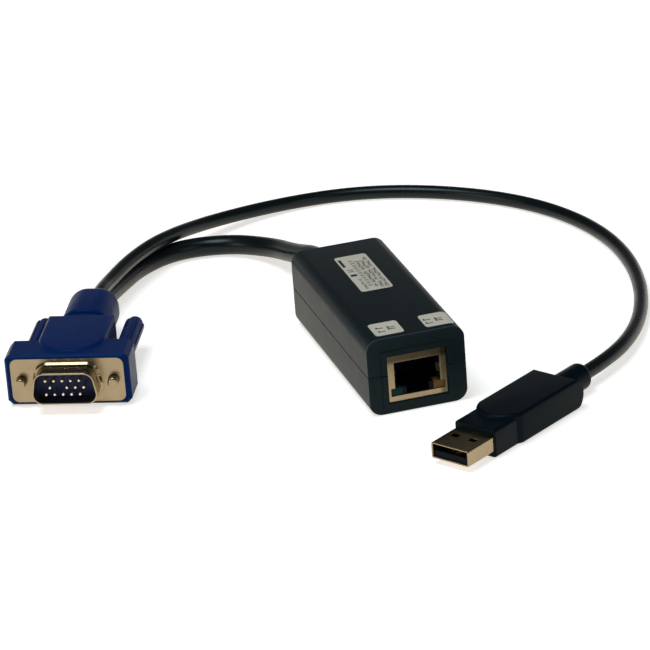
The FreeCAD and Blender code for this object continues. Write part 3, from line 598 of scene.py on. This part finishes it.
# The routes in metres, each from inside the video plug's neck to its other end.
VIDEO_ROUTE = [
    (-0.0673, 0.0522, 0.0053),
    (-0.0642, 0.0601, 0.0051),
    (-0.0536, 0.0768, 0.0033),
    (-0.0440, 0.0888, 0.0029),
    (-0.0312, 0.0958, 0.0029),
    (-0.0162, 0.0936, 0.0029),
    (-0.0062, 0.0820, 0.0042),
    (-0.0032, 0.0666, 0.0072),
    (0.0, 0.0542, 0.0108),
    (0.0, 0.0419, 0.0108),
]
USB_ROUTE = [
    (-0.0658, 0.0516, 0.0102),
    (-0.0632, 0.0576, 0.0103),
    (-0.0586, 0.0660, 0.0093),
    (-0.0486, 0.0800, 0.0091),
    (-0.0358, 0.0930, 0.0085),
    (-0.0158, 0.1104, 0.0041),
    (0.0098, 0.1187, 0.0021),
    (0.0313, 0.1166, 0.0021),
    (0.0509, 0.1074, 0.0021),
    (0.0682, 0.0923, 0.0021),
    (0.0796, 0.0738, 0.0021),
    (0.0851, 0.0516, 0.0021),
    (0.0843, 0.0286, 0.0021),
    (0.0783, 0.0049, 0.0022),
    (0.0683, -0.0165, 0.0028),
    (0.0547, -0.0338, 0.0039),
    (0.0434, -0.0413, 0.0039),
]
INNER_PIECES = [
    "circuit_board", "line_transformer", "main_chip", "video_chip", "crystal", "capacitors", "resistors",
    "board_header", "cable_wires",
]


def make_cord(name, route, diameter, node):
    """A smooth round cord whose centreline is a spline with the route as its control points."""
    curve = bpy.data.curves.new(name, "CURVE")
    curve.dimensions = "3D"
    curve.bevel_depth = diameter / 2
    curve.bevel_resolution = 8
    curve.resolution_u = 16
    curve.use_fill_caps = True
    spline = curve.splines.new("NURBS")
    spline.points.add(len(route) - 1)
    spline.points.foreach_set("co", np.column_stack([route, np.ones(len(route))]).ravel())
    spline.order_u = 3
    spline.use_endpoint_u = True
    piece = bpy.data.objects.new(name, curve)
    bpy.context.scene.collection.objects.link(piece)
    curve.materials.append(FINISHES["cable_rubber"])
    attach(piece, body_of(node))
    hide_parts(node)
    return piece


class ADAPTER_OT_cords(bpy.types.Operator):
    """Lays both cables along their routes"""

    bl_idname = "adapter.cords"
    bl_label = "Cables"

    def execute(self, context):
        values = sizes()
        thick = make_cord("thick_cable", VIDEO_ROUTE, values.video_cable_diameter, "video_cable")
        thin = make_cord("thin_cable", USB_ROUTE, values.usb_cable_diameter, "usb_cable")
        return {"FINISHED"}


# ---------------------------------------------------------------- box


class ADAPTER_OT_box(bpy.types.Operator):
    """Dresses the two halves of the box and the screws that hold them"""

    bl_idname = "adapter.box"
    bl_label = "Box"

    def execute(self, context):
        for node in ("lower_shell", "upper_shell"):
            dress(node, FINISHES["box_plastic"])
        dress("case_screws", FINISHES["screw_steel"])
        return {"FINISHED"}


class ADAPTER_OT_socket(bpy.types.Operator):
    """Dresses the network socket: its shield, its housing, its contacts and its two windows"""

    bl_idname = "adapter.socket"
    bl_label = "Network Socket"

    def execute(self, context):
        dress("jack_shield", FINISHES["jack_metal"], bevel_mm=0.06)
        dress("jack_housing", FINISHES["jack_plastic"])
        dress("jack_contacts", FINISHES["contact_metal"])
        dress("left_led", FINISHES["green_lens"])
        dress("right_led", FINISHES["amber_lens"])
        return {"FINISHED"}


class ADAPTER_OT_inside(bpy.types.Operator):
    """Finishes the circuit board and everything that stands on it"""

    bl_idname = "adapter.inside"
    bl_label = "Circuit Board"

    def execute(self, context):
        slots = {part["node"]: part["material_slot"] for part in frame["record"]["subparts"]}
        for node in INNER_PIECES:
            dress(node, FINISHES[slots[node]])
        return {"FINISHED"}


# ---------------------------------------------------------------- labels

# A row of strokes in millimetres from a label's corner: its place across, its start, the lengths of its
# words, its height and its pitch. The bars have an end in place of words. A patch is (x0, x1, y0, y1).
MAIN_ROWS = [
    (7.3, 1.2, (2.6, 3.4, 6.8, 4.4, 2.2), 1.0, 0.72),
    (5.95, 1.2, (4.6, 2.0, 5.2, 6.6), 1.0, 0.72),
    (4.6, 2.0, (2.2, 9.0, 7.4), 1.0, 0.72),
    (1.75, 1.4, (5.6, 1.4), 0.8, 0.55),
]
MAIN_BARS = (3.0, 3.0, 22.6, 1.2, 0.7)
MAIN_PATCHES = [
    (0.6, 2.4, 11.2, 12.6),
    (0.9, 2.5, 14.6, 15.0),
    (0.9, 2.5, 15.8, 16.2),
    (0.5, 1.3, 18.4, 24.0),
]
SMALL_ROWS = [(1.3, 2.0, (1.2, 1.2), 2.0, 1.2), (4.3, 2.9, (2.4,), 2.0, 1.2)]
RIGHT_LABEL_SHIFT = np.array([-0.7, -0.7, 0.0, 0.0])


def row_marks(across, start, words, height, pitch):
    """The plain strokes of one row, as (x0, x1, y0, y1) in millimetres, running along y from start.

    words are lengths along the row, each followed by a gap of one pitch. Every pitch of a word holds a stem
    as tall as the row and a short arm at one of three heights, taken by (3k + k // 2) mod 3 at the kth.
    """
    ends = start + np.cumsum(np.asarray(words) + pitch)
    counts = np.maximum(1, np.round(np.asarray(words) / pitch)).astype(int)
    k = np.arange(counts.sum())
    place = np.repeat(ends - np.asarray(words) - pitch, counts)
    place = place + (k - np.repeat(np.cumsum(counts) - counts, counts)) * pitch
    near, far = np.full(len(k), across), np.full(len(k), across + height)
    stem = np.stack([near, far, place, place + 0.36 * pitch], -1)
    level = across + (3 * k + k // 2) % 3 * 0.37 * height
    arm = np.stack([level, level + 0.26 * height, place + 0.36 * pitch, place + 0.84 * pitch], -1)
    return np.concatenate([stem, arm])


def bar_marks(across, start, end, height, pitch):
    """A row of plain bars across x, whose widths follow 0.3 + 0.2 sin(2.4k) of a pitch."""
    k = np.arange(int((end - start) / pitch))
    width = (0.3 + 0.2 * np.sin(2.4 * k)) * pitch
    place = start + k * pitch
    return np.stack([np.full(len(k), across), np.full(len(k), across + height), place, place + width], -1)


def flat_marks(name, marks, corner, top):
    """Level patches at a height, one for each row of marks, measured from a corner of the label."""
    x0, x1, y0, y1 = np.asarray(marks).T * MM
    x0, x1, y0, y1 = x0 + corner[0], x1 + corner[0], y0 + corner[1], y1 + corner[1]
    high = np.full(len(x0), top)
    rows = [(x0, y0, high), (x1, y0, high), (x1, y1, high), (x0, y1, high)]
    points = np.stack([np.stack(row, -1) for row in rows], 1).reshape(-1, 3)
    mesh = bpy.data.meshes.new(name)
    mesh.from_pydata(points.tolist(), [], np.arange(len(points)).reshape(-1, 4).tolist())
    mesh.update()
    return mesh


class ADAPTER_OT_labels(bpy.types.Operator):
    """Dresses the three labels and prints plain strokes on them"""

    bl_idname = "adapter.labels"
    bl_label = "Labels"

    def execute(self, context):
        rows = [row_marks(*row) for row in MAIN_ROWS]
        main = np.concatenate([*rows[:3], bar_marks(*MAIN_BARS), rows[3], MAIN_PATCHES])
        self.add_label("main_label", main)
        small = np.concatenate([row_marks(*row) for row in SMALL_ROWS])
        self.add_label("left_label", small)
        self.add_label("right_label", small + RIGHT_LABEL_SHIFT)
        return {"FINISHED"}

    def add_label(self, node, marks):
        """A label's film, a hair under its form's top, and its print at that top."""
        low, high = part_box(node)
        film = dress(node, FINISHES["label_film"])
        film.data.transform(Matrix.Translation((0.0, 0.0, -LABEL_PRINT_RISE * MM)))
        mesh = flat_marks(node + "_print", marks, low, high[2])
        new_object(node + "_print", mesh, body_of(node), FINISHES["label_print"])


# ---------------------------------------------------------------- plugs

LIP_CORNER_POINTS = 10
LIP_POINTS_AROUND = 20


class ADAPTER_OT_video_plug(bpy.types.Operator):
    """Builds the video plug: hood, flange and shell, insulator and pins"""

    bl_idname = "adapter.video_plug"
    bl_label = "Video Plug"

    def execute(self, context):
        dress("vga_hood", FINISHES["hood_blue"])
        dress("vga_shell", FINISHES["shell_metal"])
        dress("vga_insulator", FINISHES["insulator_blue"])
        dress("vga_pins", FINISHES["pin_metal"])
        return {"FINISHED"}


class ADAPTER_OT_thumbscrews(bpy.types.Operator):
    """Builds the two thumbscrews with their fluted knobs"""

    bl_idname = "adapter.thumbscrews"
    bl_label = "Thumbscrews"

    def execute(self, context):
        for side in ("left", "right"):
            dress(side + "_knob", FINISHES["hood_blue"])
            dress(side + "_screw", FINISHES["plug_metal"])
        return {"FINISHED"}


class ADAPTER_OT_usb_plug(bpy.types.Operator):
    """Builds the USB plug: shell, tongue, contacts and moulding"""

    bl_idname = "adapter.usb_plug"
    bl_label = "USB Plug"

    def execute(self, context):
        dress("usb_shell", FINISHES["plug_metal"])
        values = sizes()
        size = [values.usb_width / MM, values.usb_height / MM, values.usb_corner / MM]
        outline, outward = rounded_outline(*size, corner_points=LIP_CORNER_POINTS)
        lip_mm = values.usb_lip / MM
        lip = rolled_edge("usb_lip", outline, outward, 0.0, lip_mm, lip_mm, LIP_POINTS_AROUND, "usb_plug")
        new_object("usb_lip", lip, body_of("usb_shell"), FINISHES["plug_metal"])
        dress("usb_tongue", FINISHES["usb_plastic"])
        dress("usb_contacts", FINISHES["contact_metal"])
        dress("usb_overmould", FINISHES["mould_rubber"])
        return {"FINISHED"}


class ADAPTER_OT_gland(bpy.types.Operator):
    """Builds the strain relief where the thick cable leaves the box"""

    bl_idname = "adapter.gland"
    bl_label = "Strain Relief"

    def execute(self, context):
        dress("cable_gland", FINISHES["cable_rubber"])
        return {"FINISHED"}


# ---------------------------------------------------------------- panel

OPERATORS = [
    ADAPTER_OT_stage,
    ADAPTER_OT_box,
    ADAPTER_OT_socket,
    ADAPTER_OT_inside,
    ADAPTER_OT_labels,
    ADAPTER_OT_video_plug,
    ADAPTER_OT_thumbscrews,
    ADAPTER_OT_usb_plug,
    ADAPTER_OT_gland,
    ADAPTER_OT_cords,
]


class ADAPTER_PT_panel(bpy.types.Panel):
    """The adapter's sizes, colours and steps"""

    bl_idname = "ADAPTER_PT_panel"
    bl_label = "Adapter"
    bl_space_type = "VIEW_3D"
    bl_region_type = "UI"
    bl_category = "Adapter"

    def draw(self, context):
        for group in (context.scene.adapter_stage, context.scene.adapter_sizes):
            box = self.layout.box()
            for name in group.__annotations__:
                box.prop(group, name)
        for operator in OPERATORS:
            self.layout.operator(operator.bl_idname)


CLASSES = [AdapterStage, AdapterSizes, *OPERATORS, ADAPTER_PT_panel]


def register():
    for item in CLASSES:
        bpy.utils.register_class(item)
    bpy.types.Scene.adapter_stage = PointerProperty(type=AdapterStage)
    bpy.types.Scene.adapter_sizes = PointerProperty(type=AdapterSizes)


def unregister():
    del bpy.types.Scene.adapter_sizes
    del bpy.types.Scene.adapter_stage
    for item in reversed(CLASSES):
        bpy.utils.unregister_class(item)


def main():
    """Registers the add-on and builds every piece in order."""
    register()
    build_finishes(sizes())
    for operator in OPERATORS:
        group, name = operator.bl_idname.split(".")
        getattr(getattr(bpy.ops, group), name)()
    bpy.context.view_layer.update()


if __name__ == "__main__":
    main()
